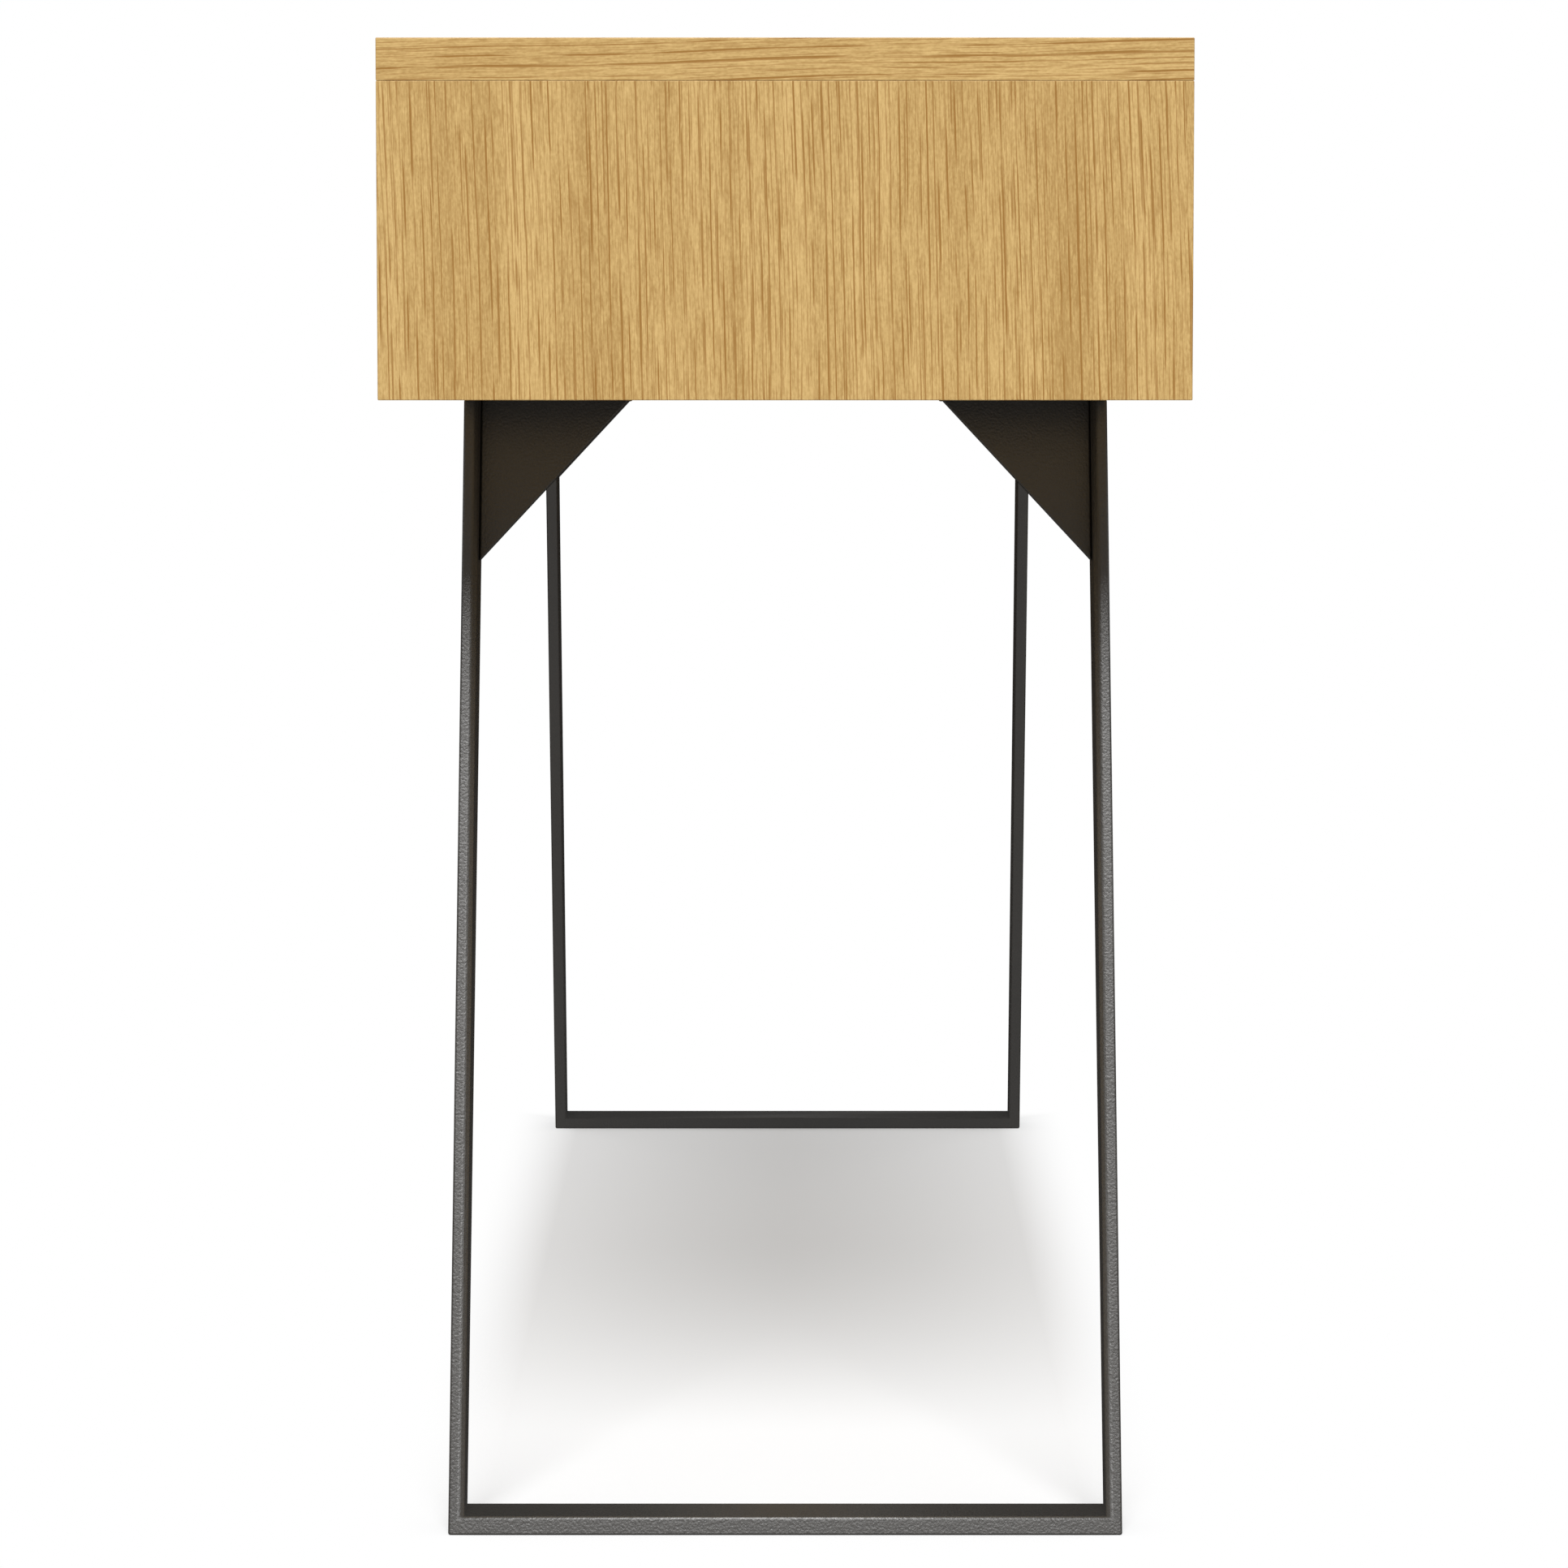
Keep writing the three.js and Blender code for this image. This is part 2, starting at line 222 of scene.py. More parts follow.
def oak(grain):
    """Natural oak: tan wood with brown pore lines along the grain, fine dashes and slow bands."""
    finish = Finish(f"oak_along_{grain}")
    wood = grain_space(finish, grain)
    bands = finish.noise(finish.stretch(wood, 55, 2.5), 2)
    clouds = finish.noise(finish.stretch(wood, 10, 4), 2)
    fibre = finish.noise(finish.stretch(wood, 1400, 90), 2)
    rich = finish.step(bands, 0.36, 0.60)
    pores = grain_lines(finish, wood, spacing=0.0047, width=0.0013, length=0.050) * 0.95
    strays = grain_lines(finish, wood, spacing=0.0079, width=0.0013, length=0.036) * 0.8
    hairs = grain_lines(finish, wood, spacing=0.0023, width=0.0009, length=0.024)
    hairs = hairs * (0.25 + rich * 0.35)
    dashes = finish.step(finish.noise(finish.stretch(wood, 900, 75), 1), 0.53, 0.68) * 0.34
    mottle = finish.noise(finish.stretch(wood, 1000, 420), 2)
    tone = bands * 0.32 + clouds * 0.10 + fibre * 0.30 + mottle * 0.28
    stops = [(0.40, OAK_DARK), (0.5, OAK_MIDDLE), (0.60, OAK_LIGHT)]
    ramp = finish.node("ShaderNodeValToRGB", {"stops": stops}, {0: tone})
    lines = pores.or_more(strays).or_more(hairs).or_more(dashes)
    height = 0.5 - lines * 0.5 + fibre * 0.12
    return finish.surface(
        Base_Color=finish.mix(lines, ramp, (*OAK_PORE, 1)),
        Roughness=0.5 + lines * 0.15,
        Normal=finish.bump(height, 0.2, 0.0003),
        Specular_IOR_Level=0.35,
    )


OAK_DARK = (0.325, 0.196, 0.060)
OAK_MIDDLE = (0.415, 0.27, 0.096)
OAK_LIGHT = (0.485, 0.325, 0.126)
OAK_PORE = (0.230, 0.107, 0.015)
OAK = {grain: oak(grain) for grain in "xyz"}
AXIS = {"x": 0, "y": 1, "z": 2}
SAME_POINT = 1e-5


def merged_copy(node):
    """A CAD piece's mesh with its loose triangles merged into flat faces."""
    shape = bmesh.new()
    shape.from_mesh(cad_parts[node].data)
    bmesh.ops.remove_doubles(shape, verts=shape.verts, dist=SAME_POINT)
    bmesh.ops.dissolve_limit(
        shape, angle_limit=radians(1), verts=shape.verts, edges=shape.edges, delimit={"NORMAL"}
    )
    return shape


def eased_copy(node, radius, segments=2):
    """A merged copy of a CAD piece with its sharp edges rounded."""
    shape = merged_copy(node)
    ease(shape, radius, segments)
    return shape


def ease(shape, radius, segments=2):
    """Rounds the edges that stand out, and leaves inner corners as they are."""
    sharp = [edge for edge in shape.edges if edge.calc_face_angle_signed(0) > radians(40)]
    bmesh.ops.bevel(
        shape, geom=sharp, offset=radius, offset_type="OFFSET", affect="EDGES",
        segments=segments, profile=0.5, material=-1, clamp_overlap=True,
    )


def finished(shape, name, body, nodes, finishes, choose=None):
    """Makes a piece from a bmesh, in its place, riding on its body and standing for any nodes named."""
    shape.normal_update()
    for face in shape.faces:
        face.smooth = True
        if choose:
            face.material_index = choose(face.normal)
    mesh = bpy.data.meshes.new(name)
    shape.to_mesh(mesh)
    shape.free()
    piece = bpy.data.objects.new(name, mesh)
    bpy.context.scene.collection.objects.link(piece)
    for finish in finishes:
        mesh.materials.append(finish)
    weighted = piece.modifiers.new("even shading", "WEIGHTED_NORMAL")
    weighted.keep_sharp = True
    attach(piece, body)
    if nodes:
        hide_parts(*nodes)
    return piece


def oak_board(node, name, body, grain, banding, radius=0.0005):
    """A veneered board: the faces that the grain would run out of are banded the other way."""
    ends = AXIS[grain]
    return finished(
        eased_copy(node, radius), name, body, [node], [OAK[grain], OAK[banding]],
        lambda normal: 1 if abs(normal[ends]) > 0.7 else 0,
    )


oak_board("top_panel", "desk_top", "carcass", "x", "y")


# --- End panels and back --------------------------------------------------------------------
# Boards of the same oak, standing under the top. The ends are as deep as the top, with their
# grain upright. The back is let in between them a little, with its grain along the desk.
SIDES = {"left": -1, "right": 1}

for side in SIDES:
    oak_board(f"{side}_end_panel", f"{side}_end_board", "carcass", "z", "y")
oak_board("back_panel", "back_board", "carcass", "x", "z")


# --- Bottom and divider ---------------------------------------------------------------------
# Paler board with a plain printed grain, used where it is seldom seen. It carries the drawers'
# slides and takes the inserts of the leg bolts.
def pale_board(name, grain, light, dark):
    """Pale board: fine short grain lines over an even ground."""
    finish = Finish(name)
    wood = grain_space(finish, grain, (0.3, 0.1, 0))
    bands = finish.noise(finish.stretch(wood, 45, 2), 2)
    fine = finish.step(finish.noise(finish.stretch(wood, 700, 20), 2), 0.5, 0.75)
    ramp = finish.node("ShaderNodeValToRGB", {"stops": [(0.35, dark), (0.65, light)]}, {0: bands})
    shade = tuple(0.72 * part for part in dark)
    colour = finish.mix(fine * 0.4, ramp, (*shade, 1))
    return finish.surface(
        Base_Color=colour, Roughness=0.5 + fine * 0.1, Normal=finish.bump(1 - fine, 0.1, 0.0002)
    )


LINER_LIGHT, LINER_DARK = (0.56, 0.39, 0.18), (0.47, 0.31, 0.125)
liner_along = {
    grain: pale_board(f"liner_along_{grain}", grain, LINER_LIGHT, LINER_DARK) for grain in "xy"
}


def plain_board(node, name, body, finish, radius=0.0004):
    """A board of one plain finish, with its edges eased."""
    return finished(eased_copy(node, radius), name, body, [node], [finish])


plain_board("bottom_panel", "bottom_board", "carcass", liner_along["x"])
plain_board("centre_divider", "divider_board", "carcass", liner_along["y"])


# --- Drawers --------------------------------------------------------------------------------
# Each front is an oak board whose grain carries on from one drawer to the next, with a notch
# for the fingers. Behind it is a box of pale board, and a plywood bottom slid into grooves.
plywood = pale_board("plywood_along_x", "x", (0.74, 0.60, 0.40), (0.66, 0.51, 0.32))

for side in SIDES:
    body = f"{side}_drawer"
    oak_board(f"{side}_drawer_front", f"{side}_front_board", body, "x", "z")
    for wall, grain in (("outer_side", "y"), ("inner_side", "y"), ("back", "x")):
        plain_board(
            f"{side}_drawer_{wall}", f"{side}_box_{wall}", body, liner_along[grain]
        )
    plain_board(f"{side}_drawer_bottom", f"{side}_box_bottom", body, plywood, 0.0002)


# --- Bumpers --------------------------------------------------------------------------------
# Clear soft discs stuck to the back of each front, so that the drawer closes without a knock.
def soft_clear():
    """Clear rubber, a little hazy."""
    finish = Finish("clear_rubber")
    haze = finish.noise(finish.stretch(finish.place(), 900, 900), 2)
    colour = finish.mix(haze, (0.62, 0.64, 0.62, 1), (0.82, 0.83, 0.80, 1))
    return finish.surface(Base_Color=colour, Roughness=0.25 + haze * 0.2)


bumper_finish = soft_clear()
for side in SIDES:
    for number in (1, 2):
        node = f"{side}_drawer_bumper_{number}"
        finished(
            eased_copy(node, 0.0006, 3), f"{side}_soft_stop_{number}", f"{side}_drawer",
            [node], [bumper_finish],
        )


# --- Slides ---------------------------------------------------------------------------------
# Full-extension drawer slides of zinc-plated strip, rolled into three nested channels that run on
# caged balls. The cabinet member is screwed to the carcass, the drawer member to the drawer's side.
def plated_steel():
    """Bright zinc plate, with faint rolling lines and a cloudy spangle."""
    finish = Finish("zinc_plated_steel")
    place = finish.place()
    spangle = finish.noise(finish.stretch(place, 160, 160), 3)
    drawn_out = finish.node(
        "ShaderNodeVectorMath", {"operation": "MULTIPLY"}, {0: place, 1: (900, 6, 900)}
    )
    rolled = finish.noise(drawn_out, 2)
    colour = finish.mix(spangle, (0.42, 0.43, 0.44, 1), (0.66, 0.66, 0.65, 1))
    return finish.surface(
        Base_Color=colour, Metallic=1.0, Roughness=0.26 + spangle * 0.14 + rolled * 0.08,
        Normal=finish.bump(rolled, 0.08, 0.0001),
    )


zinc = plated_steel()
STRIP = 0.0012
BEND = 0.0022


def channel_sides(node):
    """The X of a channel's flat web, and the X that its two lips reach to."""
    low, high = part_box(node)
    points = [vertex.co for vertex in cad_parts[node].data.vertices]
    inside = [point.x for point in points if low.z + STRIP / 2 < point.z < high.z - STRIP / 2]
    lip_at_low = min(inside) < low.x + STRIP / 2
    return (high.x, low.x) if lip_at_low else (low.x, high.x)


def folded_sheet(corners, start, length):
    """A sheet drawn along the slide from an open line of corners in X and Z."""
    shape = bmesh.new()
    line = [shape.verts.new((x, start, z)) for x, z in corners]
    edges = [shape.edges.new(pair) for pair in zip(line, line[1:])]
    made = bmesh.ops.extrude_edge_only(shape, edges=edges)["geom"]
    far = [part for part in made if isinstance(part, bmesh.types.BMVert)]
    bmesh.ops.translate(shape, verts=far, vec=(0, length, 0))
    bmesh.ops.recalc_face_normals(shape, faces=shape.faces)
    return shape


def rolled_channel(node):
    """Strip rolled to a channel: a bent sheet given its thickness inwards."""
    low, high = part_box(node)
    web, lip = channel_sides(node)
    corners = [(lip, low.z), (web, low.z), (web, high.z), (lip, high.z)]
    shape = folded_sheet(corners, low.y, high.y - low.y)
    bends = [edge for edge in shape.edges if len(edge.link_faces) == 2]
    bmesh.ops.bevel(
        shape, geom=bends, offset=BEND, offset_type="OFFSET", affect="EDGES",
        segments=5, profile=0.5, material=-1,
    )
    flat = max(shape.faces, key=lambda face: face.calc_area())
    outward = (flat.calc_center_median() - (low + high) / 2).dot(flat.normal) > 0
    bmesh.ops.solidify(shape, geom=shape.faces, thickness=STRIP if outward else -STRIP)
    bmesh.ops.recalc_face_normals(shape, faces=shape.faces)
    return shape


BALL = 0.0034
BALLS_IN_ROW = 7
CAGE_LENGTH = 0.096
CAGE_WALL = 0.0006
CAGE_CLEARANCE = 0.0004
CAGE_INSET = 0.0288


def ball_cage(wide, narrow, start):
    """Balls in a thin pressed cage, between a wide channel and the narrow one inside it."""
    web, lip = channel_sides(wide)
    inner_web, inner_lip = channel_sides(narrow)
    way = 1 if lip > web else -1
    nearest, furthest = sorted((way * inner_web, way * inner_lip))
    reach = min(way * lip, furthest)
    back = way * (nearest - CAGE_CLEARANCE - CAGE_WALL)
    front = way * (reach - CAGE_CLEARANCE)
    balls_x = way * (reach + nearest) / 2
    (low, high), (inner_low, inner_high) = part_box(wide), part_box(narrow)
    lower = (low.z + STRIP + inner_low.z) / 2
    upper = (high.z - STRIP + inner_high.z) / 2
    corners = [(front, lower), (back, lower), (back, upper), (front, upper)]
    shape = folded_sheet(corners, start, CAGE_LENGTH)
    bmesh.ops.solidify(shape, geom=shape.faces, thickness=CAGE_WALL)
    bmesh.ops.recalc_face_normals(shape, faces=shape.faces)
    for row in (lower, upper):
        for number in range(BALLS_IN_ROW):
            along = start + CAGE_LENGTH * (number + 0.5) / BALLS_IN_ROW
            bmesh.ops.create_icosphere(
                shape, subdivisions=2, radius=BALL / 2,
                matrix=Matrix.Translation((balls_x, along, row)),
            )
    return shape


HEAD_RADIUS, HEAD_HEIGHT = 0.0036, 0.0012
HEAD_STEPS = ((0.6, 0.97), (0.3, 0.86), (0.1, 0.84))
RECESS_REACH, RECESS_WIDTH, RECESS_DEPTH = 0.0019, 0.0005, 0.0008


def drawn_face(shape, face, keep=False):
    """Extrudes one face and returns the new one, with its corners still where the old one's are."""
    drawn = bmesh.ops.extrude_face_region(shape, geom=[face])["geom"]
    if not keep:
        bmesh.ops.delete(shape, geom=[face], context="FACES_ONLY")
    return next(part for part in drawn if isinstance(part, bmesh.types.BMFace))


def screw_head():
    """A low pan head, upright at the origin, with a recess for the driver in its top."""
    head = bmesh.new()
    bmesh.ops.create_circle(
        head, cap_ends=True, segments=12, radius=HEAD_RADIUS, matrix=Matrix.Rotation(pi / 12, 4, "Z")
    )
    bmesh.ops.recalc_face_normals(head, faces=head.faces)
    face = head.faces[:][0]
    for step, (rise, width) in enumerate(HEAD_STEPS):
        face = drawn_face(head, face, keep=step == 0)
        bmesh.ops.translate(head, verts=face.verts, vec=(0, 0, rise * HEAD_HEIGHT))
        bmesh.ops.scale(head, verts=face.verts, vec=(width, width, 1))
    bmesh.ops.inset_region(head, faces=[face], thickness=HEAD_RADIUS * 0.1)
    for vertex in face.verts:
        for axis in (0, 1):
            far_out = abs(vertex.co[axis]) > 0.9 * vertex.co.xy.length
            size = RECESS_REACH if far_out else RECESS_WIDTH
            vertex.co[axis] = size if vertex.co[axis] > 0 else -size
    bottom = drawn_face(head, face)
    bmesh.ops.translate(head, verts=bottom.verts, vec=(0, 0, -RECESS_DEPTH))
    bmesh.ops.scale(head, verts=bottom.verts, vec=(0.7, 0.7, 1))
    bmesh.ops.recalc_face_normals(head, faces=head.faces)
    return head


def screw_heads(node, places):
    """Heads in a row along the inside of a channel's web, at these shares of its length."""
    web, lip = channel_sides(node)
    low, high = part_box(node)
    way = 1 if lip > web else -1
    shape = bmesh.new()
    for share in places:
        seat = Vector((web + way * STRIP, low.y + share * (high.y - low.y), (low.z + high.z) / 2))
        head = screw_head()
        turned = Matrix.Translation(seat) @ Matrix.Rotation(way * pi / 2, 4, "Y")
        bmesh.ops.transform(head, matrix=turned, verts=head.verts)
        part = bpy.data.meshes.new("screw head")
        head.to_mesh(part)
        head.free()
        shape.from_mesh(part)
        bpy.data.meshes.remove(part)
    return shape


for side in SIDES:
    for place in ("outer", "inner"):
        slide = f"{side}_{place}_slide"
        members = (("cabinet", "carcass"), ("middle", f"{side}_runners"), ("drawer", f"{side}_drawer"))
        for member, body in members:
            node = f"{slide}_{member}_member"
            finished(
                rolled_channel(node), f"{side}_{place}_{member}_channel", body,
                [node], [zinc],
            )
        middle_low, middle_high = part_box(f"{slide}_middle_member")
        for pair, wide, narrow, start in (
            ("rear", "cabinet", "middle", middle_high.y - CAGE_INSET - CAGE_LENGTH),
            ("front", "middle", "drawer", middle_low.y + CAGE_INSET),
        ):
            cage = finished(
                ball_cage(f"{slide}_{wide}_member", f"{slide}_{narrow}_member", start),
                f"{side}_{place}_{pair}_ball_cage", f"{side}_runners", [], [zinc],
            )
            cage.data.set_sharp_from_angle(angle=radians(50))
        for member, body, places in (
            ("cabinet", "carcass", (0.06, 0.5, 0.94)),
            ("drawer", f"{side}_drawer", (0.12, 0.4, 0.94)),
        ):
            heads = finished(
                screw_heads(f"{slide}_{member}_member", places), f"{side}_{place}_{member}_screws",
                body, [], [zinc],
            )
            heads.data.set_sharp_from_angle(angle=radians(35))


# --- Leg frames -----------------------------------------------------------------------------
# Flat steel bar welded into a frame that is closed along the floor and leans outwards, with a
# plate across its top and a gusset in each upper corner, all coated charcoal with a fine grain.
def powder_coat():
    """Charcoal powder coat with a fine leathery grain that the light catches."""
    finish = Finish("charcoal_powder_coat")
    place = finish.place()
    grain = finish.noise(finish.stretch(place, 800, 800), 1.5)
    swell = finish.noise(finish.stretch(place, 110, 110), 2)
    tone = grain * 0.6 + swell * 0.4
    return finish.surface(
        Base_Color=finish.mix(tone, (0.006, 0.0045, 0.003, 1), (0.017, 0.0135, 0.009, 1)),
        Roughness=0.40 + grain * 0.16,
        Normal=finish.bump(grain + swell * 0.25, 0.45, 0.0005),
        Specular_IOR_Level=1.0,
        IOR=1.58,
    )


charcoal = powder_coat()
BAR_EDGE = 0.0012
PLATE_EDGE = 0.0005
LEG_CHAMFER = 0.0025


def corners_at(node, top):
    """The corners of a prism's top or bottom face, in order of X and then Y."""
    points = [vertex.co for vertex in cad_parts[node].data.vertices]
    level = (max if top else min)(point.z for point in points)
    found = {point.to_tuple(5) for point in points if abs(point.z - level) < SAME_POINT}
    return [Vector(place) for place in sorted(found)]


def welded_bars(side, end):
    """The foot bar with both legs drawn up from its ends, each chamfered along its inner front edge."""
    shape = merged_copy(f"{side}_foot_bar")
    for row in ("front", "rear"):
        leg = f"{side}_{row}_leg_bar"
        inner_y = min((corner.y for corner in corners_at(leg, False)), key=abs)
        bmesh.ops.bisect_plane(
            shape, geom=[*shape.verts, *shape.edges, *shape.faces],
            plane_co=(0, inner_y, 0), plane_no=(0, 1, 0),
        )
    for row, way in (("front", -1), ("rear", 1)):
        leg = f"{side}_{row}_leg_bar"
        shape.normal_update()
        upward = [face for face in shape.faces if face.normal.z > 0.9]
        seat = max(upward, key=lambda face: way * face.calc_center_median().y)
        points = [vertex.co for vertex in seat.verts]
        corner = min(points, key=lambda point: way * point.y - end * point.x)
        cut = bmesh.ops.bisect_plane(
            shape, geom=[seat, *seat.edges, *seat.verts],
            plane_co=corner - Vector((end * LEG_CHAMFER, 0, 0)), plane_no=(end, -way, 0),
        )["geom"]
        parts = {part for part in cut if isinstance(part, bmesh.types.BMFace)}
        seat = max(parts, key=lambda face: face.calc_area())
        drawn = bmesh.ops.extrude_face_region(shape, geom=[seat])["geom"]
        bmesh.ops.delete(shape, geom=[seat], context="FACES_ONLY")
        section = [part for part in drawn if isinstance(part, bmesh.types.BMVert)]
        low_x, high_x = (pick(vertex.co.x for vertex in section) for pick in (min, max))
        low_y, high_y = (pick(vertex.co.y for vertex in section) for pick in (min, max))
        first, past_y, past_x = corners_at(leg, True)[:3]
        for vertex in section:
            share_x = (vertex.co.x - low_x) / (high_x - low_x)
            share_y = (vertex.co.y - low_y) / (high_y - low_y)
            vertex.co = first + share_x * (past_x - first) + share_y * (past_y - first)
    bmesh.ops.recalc_face_normals(shape, faces=shape.faces)
    bmesh.ops.dissolve_limit(shape, angle_limit=radians(0.6), verts=shape.verts, edges=shape.edges)
    ease(shape, BAR_EDGE, 4)
    return shape


WELD_RADIUS = 0.0018
RIPPLE = 0.0022
RIPPLE_SWELL = 1.16


def weld_bead(shape, start, end):
    """A bead of weld between two points: overlapping ripples round its line."""
    ripples = round((end - start).length / RIPPLE)
    turn = (end - start).to_track_quat("Z", "Y").to_matrix().to_4x4()
    ring = bmesh.ops.create_circle(
        shape, cap_ends=True, segments=8, radius=WELD_RADIUS, matrix=Matrix.Translation(start) @ turn
    )["verts"]
    along = (end - start) / (2 * ripples)
    face = ring[0].link_faces[0]
    for step in range(2 * ripples):
        face = drawn_face(shape, face, keep=step == 0)
        swell = RIPPLE_SWELL if step % 2 == 0 else 1 / RIPPLE_SWELL
        centre = face.calc_center_median()
        bmesh.ops.scale(shape, verts=face.verts, vec=(swell,) * 3, space=Matrix.Translation(-centre))
        bmesh.ops.translate(shape, verts=face.verts, vec=along)


def weld_beads(side, end):
    """Beads on the side towards the desk's middle: under the plate, and down between leg and gusset."""
    shape = bmesh.new()
    for row, way in (("front", -1), ("rear", 1)):
        gusset = f"{side}_{row}_gusset"
        under_plate, tip = corners_at(gusset, True), corners_at(gusset, False)
        near_middle = sorted(under_plate, key=lambda corner: end * corner.x)[:2]
        tip_corner = min(tip, key=lambda corner: end * corner.x)
        by_leg, far_end = sorted(near_middle, key=lambda corner: -way * corner.y)
        weld_bead(shape, by_leg, far_end)
        weld_bead(shape, tip_corner.lerp(by_leg, 0.04), by_leg)
    bmesh.ops.recalc_face_normals(shape, faces=shape.faces)
    return shape


def coated(shape, name, nodes):
    return finished(shape, name, "carcass", nodes, [charcoal])


for side, end in SIDES.items():
    bars = [f"{side}_foot_bar", f"{side}_front_leg_bar", f"{side}_rear_leg_bar"]
    coated(welded_bars(side, end), f"{side}_leg_frame", bars)
    for row in ("front", "rear"):
        node = f"{side}_{row}_gusset"
        coated(eased_copy(node, BAR_EDGE, 3), f"{side}_{row}_corner_plate", [node])
    node = f"{side}_mounting_plate"
    coated(eased_copy(node, PLATE_EDGE), f"{side}_top_plate", [node])
    coated(weld_beads(side, end), f"{side}_weld_beads", [])


# --- Leg bolts ------------------------------------------------------------------------------
# Countersunk M6 bolts with hexagon sockets, blackened, go up through the plates into threaded
# inserts in the bottom board.
def black_oxide():
    """Blackened steel, a little blotchy."""
    finish = Finish("black_oxide")
    blotch = finish.noise(finish.stretch(finish.place(), 700, 700), 3)
    colour = finish.mix(blotch, (0.012, 0.012, 0.013, 1), (0.035, 0.033, 0.032, 1))
    return finish.surface(Base_Color=colour, Metallic=0.7, Roughness=0.3 + blotch * 0.2)


bolt_black = black_oxide()
BOLT_HEAD = 0.0032
SHANK_SHARE = 0.47
SOCKET_FLAT, SOCKET_DEPTH = 0.002, 0.0021


def countersunk_bolt(node):
    """A turned head and shank, with a hexagon socket sunk in the head."""
    low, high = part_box(node)
    radius = (high.x - low.x) / 2
    centre = (low + high) / 2
    shape = bmesh.new()
    bmesh.ops.create_circle(
        shape, cap_ends=True, segments=36, radius=radius,
        matrix=Matrix.Translation((centre.x, centre.y, low.z)),
    )
    neck = drawn_face(shape, shape.faces[:][0], keep=True)
    bmesh.ops.translate(shape, verts=neck.verts, vec=(0, 0, BOLT_HEAD))
    around = Matrix.Translation((-centre.x, -centre.y, 0))
    bmesh.ops.scale(shape, verts=neck.verts, vec=(SHANK_SHARE, SHANK_SHARE, 1), space=around)
    shank = drawn_face(shape, neck)
    bmesh.ops.translate(shape, verts=shank.verts, vec=(0, 0, high.z - low.z - BOLT_HEAD))
    bmesh.ops.recalc_face_normals(shape, faces=shape.faces)
    socket = min(shape.faces, key=lambda face: face.calc_center_median().z)
    bmesh.ops.inset_region(shape, faces=[socket], thickness=radius - SOCKET_FLAT * 1.15)
    for vertex in socket.verts:
        away = Vector((vertex.co.x - centre.x, vertex.co.y - centre.y))
        turn = (away.angle_signed(Vector((1, 0))) + 2 * pi) % (pi / 3) - pi / 6
        away *= SOCKET_FLAT / cos(turn) / away.length
        vertex.co.x, vertex.co.y = centre.x + away.x, centre.y + away.y
    bottom = drawn_face(shape, socket)
    bmesh.ops.translate(shape, verts=bottom.verts, vec=(0, 0, SOCKET_DEPTH))
    bmesh.ops.recalc_face_normals(shape, faces=shape.faces)
    return shape


for side in SIDES:
    for number in range(1, 5):
        node = f"{side}_bolt_{number}"
        piece = finished(
            countersunk_bolt(node), f"{side}_socket_bolt_{number}", "carcass",
            [node], [bolt_black],
        )
        piece.data.set_sharp_from_angle(angle=radians(30))
        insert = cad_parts[f"{side}_insert_{number}"].data
        insert.materials.clear()
        insert.materials.append(zinc)


# --- Studio ---------------------------------------------------------------------------------
# A white backdrop, a soft sky that is brighter overhead, one broad sun from beyond the
# right-hand end and a weaker one on each long side. The grey floor carries a painted white glow:
# outside a patch under the desk it paints the floor white and so cuts the real cast shadow off past
# the feet and sides, and inside the patch a weaker painted glow lightens that shadow. Glossy faces
# don't mirror the floor.
scene = bpy.context.scene
scene.view_settings.view_transform = "Standard"
FLOOR_REACH = 20
# Share of painted white glow laid over the whole floor, which lightens the cast shadow under the desk.
FLOOR_GLOW = 0.30
# Edges of the patch where the real shadow shows; past them the painted glow paints the floor white.
SHADOW_SIDE_FROM, SHADOW_SIDE_TO = 0.125, 0.21
SHADOW_END_FROM, SHADOW_END_TO = cad_high.x - 0.03, cad_high.x + 0.045

floor_shape = bmesh.new()
bmesh.ops.create_grid(floor_shape, x_segments=1, y_segments=1, size=FLOOR_REACH)
floor_mesh = bpy.data.meshes.new("floor")
floor_shape.to_mesh(floor_mesh)
floor_shape.free()
floor = bpy.data.objects.new("floor", floor_mesh)
scene.collection.objects.link(floor)
paper = Finish("floor_with_painted_glow")
paper.surface(Base_Color=(0.570, 0.573, 0.578, 1), Roughness=1.0, Specular_IOR_Level=0.0)
spot = paper.node("ShaderNodeSeparateXYZ", None, {0: paper.place()})
spot_y = Socket(paper, spot.socket.node.outputs["Y"])
past_sides = paper.step(abs(spot_y), SHADOW_SIDE_FROM, SHADOW_SIDE_TO)
past_ends = paper.step(abs(spot), SHADOW_END_FROM, SHADOW_END_TO)
# Painted glow: white light given off by the floor, though the floor is no lamp.
white = paper.node("ShaderNodeEmission", None, {"Strength": 1.0})
share = past_sides.or_more(past_ends).or_more(FLOOR_GLOW)
sheet = paper.node(
    "ShaderNodeMixShader", None, {0: share, 1: Socket(paper, paper.shader.outputs[0]), 2: white}
)
under = Socket(paper, paper.node("ShaderNodeNewGeometry").socket.node.outputs["Backfacing"])
open_below = paper.node(
    "ShaderNodeMixShader", None, {0: under, 1: sheet, 2: paper.node("ShaderNodeBsdfTransparent")}
)
paper.tree.links.new(open_below.socket, paper.tree.nodes["Material Output"].inputs["Surface"])
floor_mesh.materials.append(paper.material)
floor.visible_glossy = False

SKY_LOW, SKY_HIGH, SKY_AHEAD = 0.018, 0.62, 0.36

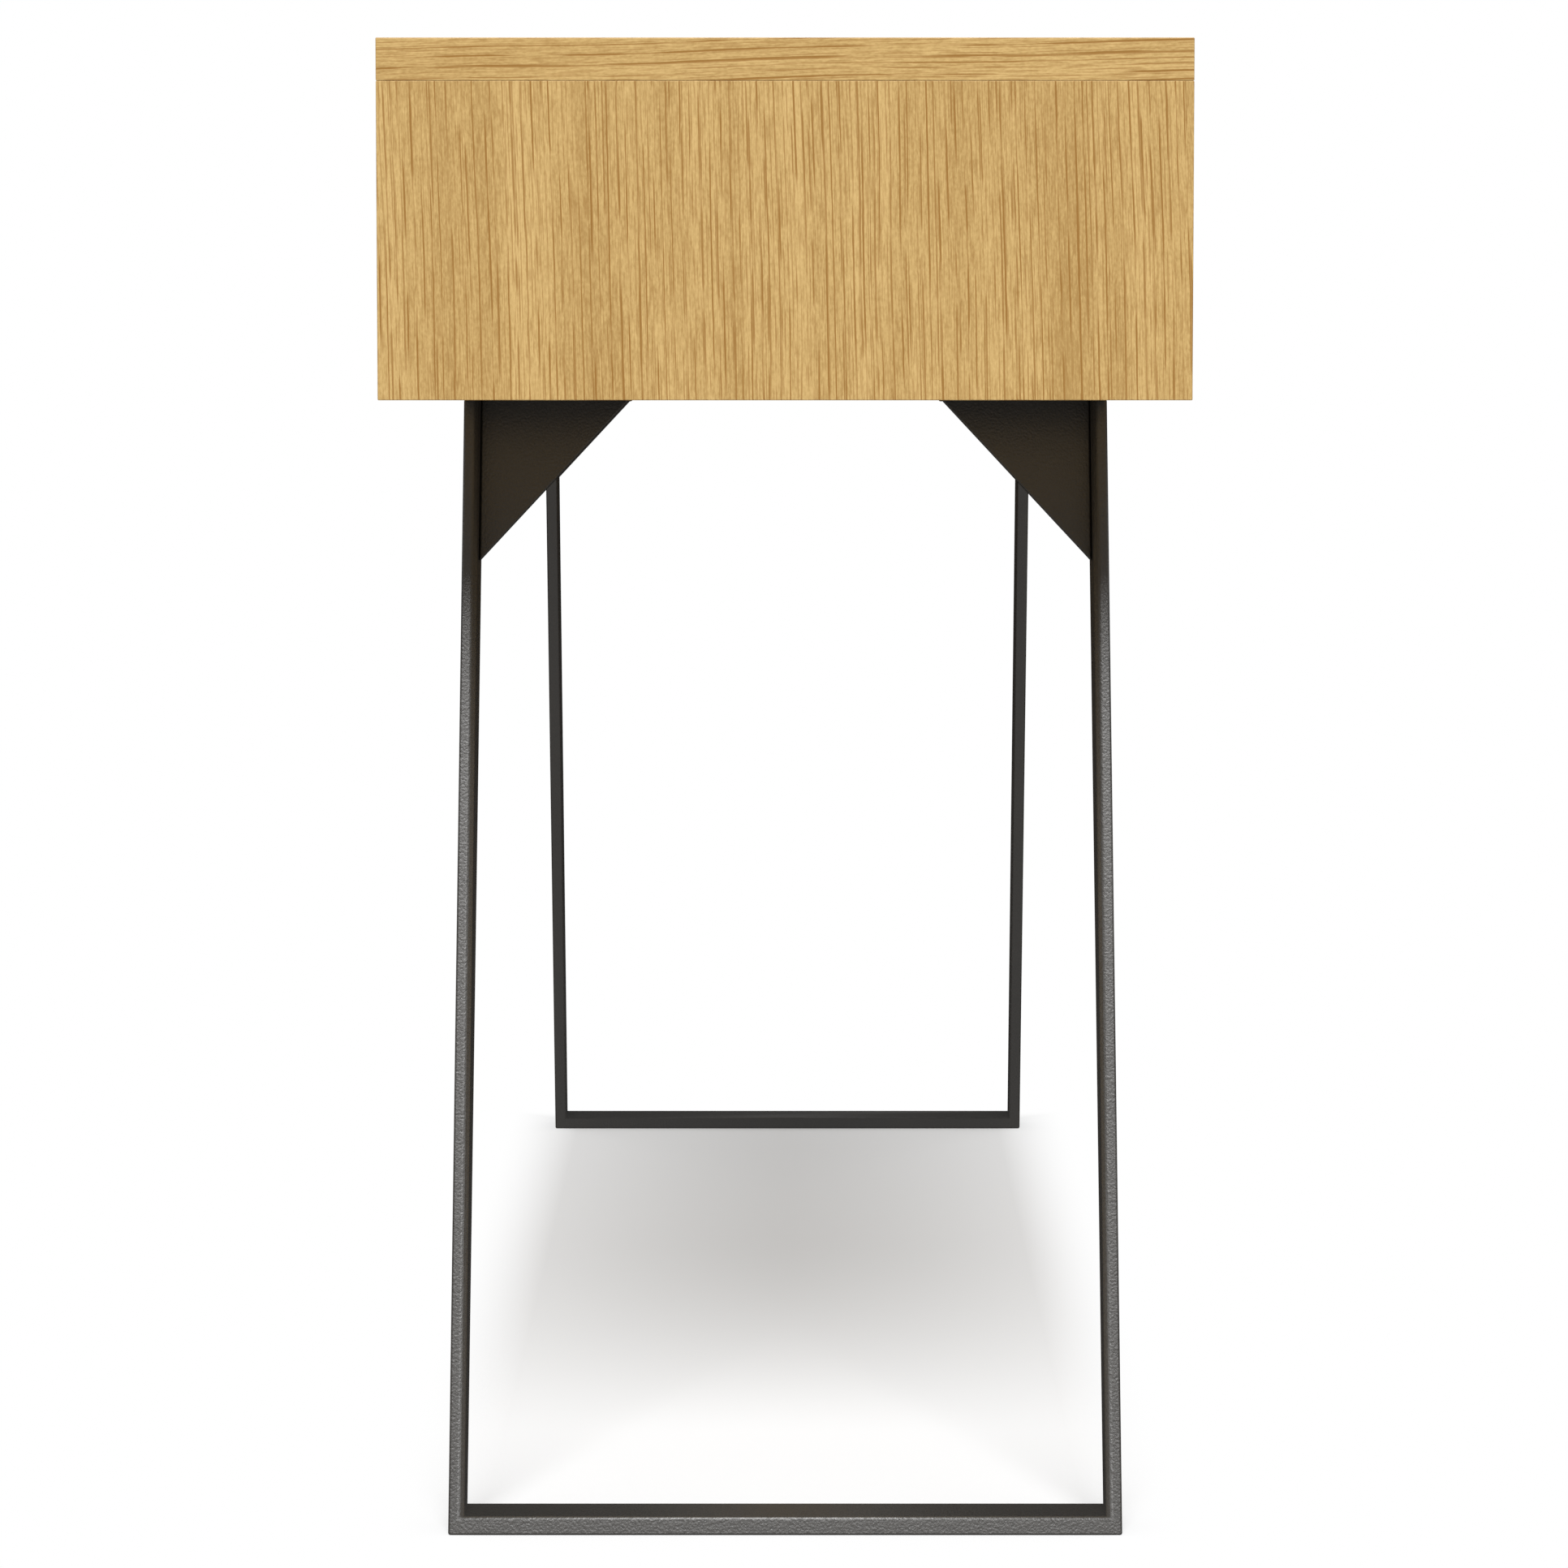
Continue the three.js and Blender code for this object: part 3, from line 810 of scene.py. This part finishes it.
world = bpy.data.worlds.new("studio")
scene.world = world
world.use_nodes = True
sky = world.node_tree
direction = sky.nodes.new("ShaderNodeTexCoord")
split = sky.nodes.new("ShaderNodeSeparateXYZ")
ahead = sky.nodes.new("ShaderNodeVectorMath")
ahead.operation = "DOT_PRODUCT"
ahead.inputs[1].default_value = (0.8, 0, -0.6)
sky.links.new(direction.outputs["Generated"], ahead.inputs[0])
glows = []
for facing, start, end, dim, bright in (
    (split.outputs["Z"], 0.28, 0.7, SKY_LOW, SKY_HIGH),
    (ahead.outputs["Value"], 0.3, 0.95, 0.0, SKY_AHEAD),
):
    glow = sky.nodes.new("ShaderNodeMapRange")
    glow.interpolation_type = "SMOOTHSTEP"
    for name, value in {"From Min": start, "From Max": end, "To Min": dim, "To Max": bright}.items():
        glow.inputs[name].default_value = value
    sky.links.new(facing, glow.inputs["Value"])
    glows.append(glow)
total = sky.nodes.new("ShaderNodeMath")
seen = sky.nodes.new("ShaderNodeLightPath")
backdrop = sky.nodes.new("ShaderNodeMix")
backdrop.inputs["B"].default_value = 1.0
sky.links.new(direction.outputs["Generated"], split.inputs[0])
sky.links.new(glows[0].outputs["Result"], total.inputs[0])
sky.links.new(glows[1].outputs["Result"], total.inputs[1])
sky.links.new(total.outputs[0], backdrop.inputs["A"])
sky.links.new(seen.outputs["Is Camera Ray"], backdrop.inputs["Factor"])
sky.links.new(backdrop.outputs["Result"], sky.nodes["Background"].inputs["Strength"])
sky.nodes["Background"].inputs["Color"].default_value = (1, 1, 1, 1)

SUN_STRENGTH, SUN_SPREAD, SUN_HEIGHT = 4.5, 32, radians(53)
FILL_STRENGTH, FILL_SPREAD, FILL_TILT = 0.55, 70, radians(52)

for name, strength, spread, turn in (
    ("sun", SUN_STRENGTH, SUN_SPREAD, (0, pi / 2 - SUN_HEIGHT, 0)),
    ("front_fill", FILL_STRENGTH, FILL_SPREAD, (FILL_TILT, 0, 0)),
    ("back_fill", FILL_STRENGTH, FILL_SPREAD, (-FILL_TILT, 0, 0)),
):
    light_data = bpy.data.lights.new(name, "SUN")
    light_data.energy = strength
    light_data.angle = radians(spread)
    light = bpy.data.objects.new(name, light_data)
    scene.collection.objects.link(light)
    light.rotation_euler = turn
